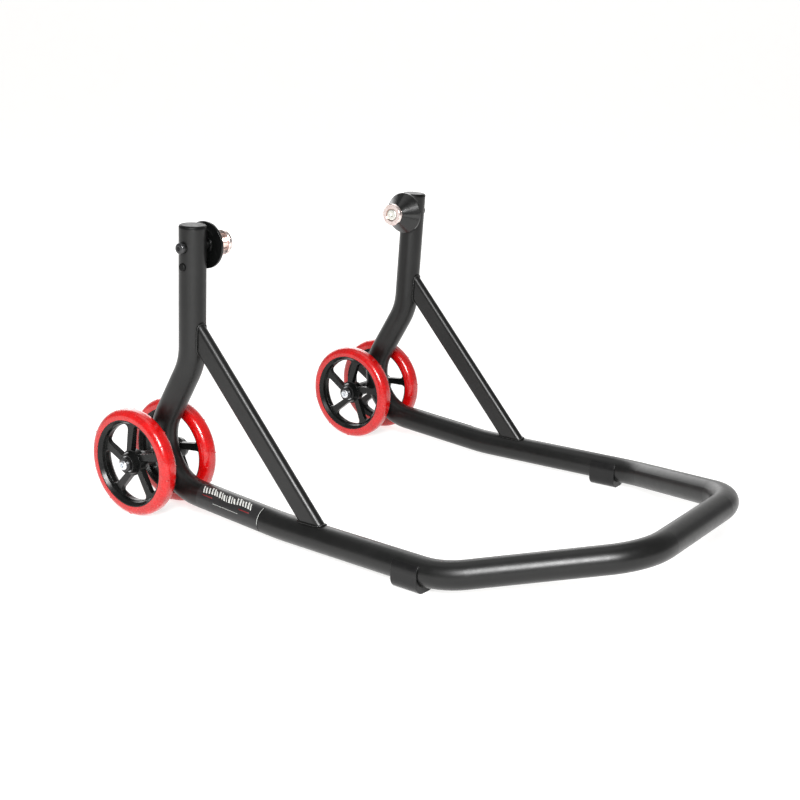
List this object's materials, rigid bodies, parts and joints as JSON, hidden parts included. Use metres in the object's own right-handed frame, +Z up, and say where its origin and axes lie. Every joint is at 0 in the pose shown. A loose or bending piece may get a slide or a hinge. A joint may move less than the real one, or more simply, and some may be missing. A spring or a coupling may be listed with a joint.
{
  "type": "motorcycle paddock stand",
  "caption": "Rear lifting stand of bent black tube with braced uprights, guard cones and spools at their tops, twin red wheels behind each bend and saddle feet.",
  "frame": {"origin": "on the floor, in the middle of the stand's box", "axes": "+X across the stand, +Y from the handle towards the wheels, +Z up"},
  "size_m": [0.5818, 0.763, 0.393],
  "materials": {
    "frame_paint": "satin black powder coat",
    "welded_steel": "satin black powder coat",
    "cap_plastic": "fine grained black",
    "foot_rubber": "satin black",
    "label_film": null,
    "cone_plastic": "turned black nylon, satin",
    "spool_aluminium": "turned, bright",
    "nut_steel": "bright plated",
    "bolt_black": "black oxide, glossy",
    "axle_steel": "bright zinc",
    "ring_black": "black",
    "tyre_red": "glossy translucent red polyurethane",
    "wheel_black": "glossy black",
    "bearing_steel": "ground",
    "seal_black": "matt"
  },
  "bodies": {
    "stand": {"frame_tube": "frame_paint", "brace_left": "frame_paint", "brace_right": "frame_paint", "axle_bush_left": "welded_steel", "axle_bush_right": "welded_steel", "support_bush_left": "welded_steel", "support_bush_right": "welded_steel", "tube_cap_left": "cap_plastic", "tube_cap_right": "cap_plastic", "hole_plugs_left": "cap_plastic", "hole_plugs_right": "cap_plastic", "foot_left": "foot_rubber", "foot_right": "foot_rubber", "label_left": "label_film", "label_right": "label_film", "support_cone_left": "cone_plastic", "support_cone_right": "cone_plastic", "support_nut_left": "nut_steel", "support_nut_right": "nut_steel", "support_bolt_left": "bolt_black", "support_bolt_right": "bolt_black", "axle_left": "axle_steel", "axle_right": "axle_steel", "axle_screw_left": "axle_steel", "axle_screw_right": "axle_steel", "axle_washers_left": "ring_black", "axle_washers_right": "ring_black", "wheel_gap_rings_left": "ring_black", "wheel_gap_rings_right": "ring_black", "bearing_inner_rings_left_outer": "bearing_steel", "bearing_balls_left_outer": "bearing_steel", "bearing_sleeve_left_outer": "bearing_steel", "bearing_inner_rings_left_inner": "bearing_steel", "bearing_balls_left_inner": "bearing_steel", "bearing_sleeve_left_inner": "bearing_steel", "bearing_inner_rings_right_inner": "bearing_steel", "bearing_balls_right_inner": "bearing_steel", "bearing_sleeve_right_inner": "bearing_steel", "bearing_inner_rings_right_outer": "bearing_steel", "bearing_balls_right_outer": "bearing_steel", "bearing_sleeve_right_outer": "bearing_steel"},
    "wheel_left_outer": {"tyre_left_outer": "tyre_red", "wheel_core_left_outer": "wheel_black", "bearing_outer_rings_left_outer": "bearing_steel", "bearing_seals_left_outer": "seal_black"},
    "wheel_left_inner": {"tyre_left_inner": "tyre_red", "wheel_core_left_inner": "wheel_black", "bearing_outer_rings_left_inner": "bearing_steel", "bearing_seals_left_inner": "seal_black"},
    "wheel_right_inner": {"tyre_right_inner": "tyre_red", "wheel_core_right_inner": "wheel_black", "bearing_outer_rings_right_inner": "bearing_steel", "bearing_seals_right_inner": "seal_black"},
    "wheel_right_outer": {"tyre_right_outer": "tyre_red", "wheel_core_right_outer": "wheel_black", "bearing_outer_rings_right_outer": "bearing_steel", "bearing_seals_right_outer": "seal_black"},
    "spool_left": {"support_spool_left": "spool_aluminium"},
    "spool_right": {"support_spool_right": "spool_aluminium"}
  },
  "joints": [
    {"name": "wheel_left_outer_spin", "type": "hinge", "parent": "stand", "child": "wheel_left_outer", "pos_m": [-0.26925, 0.3095, 0.072], "axis": [1, 0, 0], "continuous": true},
    {"name": "wheel_left_inner_spin", "type": "hinge", "parent": "stand", "child": "wheel_left_inner", "pos_m": [-0.19575, 0.3095, 0.072], "axis": [1, 0, 0], "continuous": true},
    {"name": "wheel_right_inner_spin", "type": "hinge", "parent": "stand", "child": "wheel_right_inner", "pos_m": [0.19575, 0.3095, 0.072], "axis": [1, 0, 0], "continuous": true},
    {"name": "wheel_right_outer_spin", "type": "hinge", "parent": "stand", "child": "wheel_right_outer", "pos_m": [0.26925, 0.3095, 0.072], "axis": [1, 0, 0], "continuous": true},
    {"name": "spool_left_spin", "type": "hinge", "parent": "stand", "child": "spool_left", "pos_m": [-0.23508, 0.22562, 0.363], "axis": [1, 0, 0], "continuous": true},
    {"name": "spool_right_spin", "type": "hinge", "parent": "stand", "child": "spool_right", "pos_m": [0.23508, 0.22562, 0.363], "axis": [1, 0, 0], "continuous": true}
  ]
}
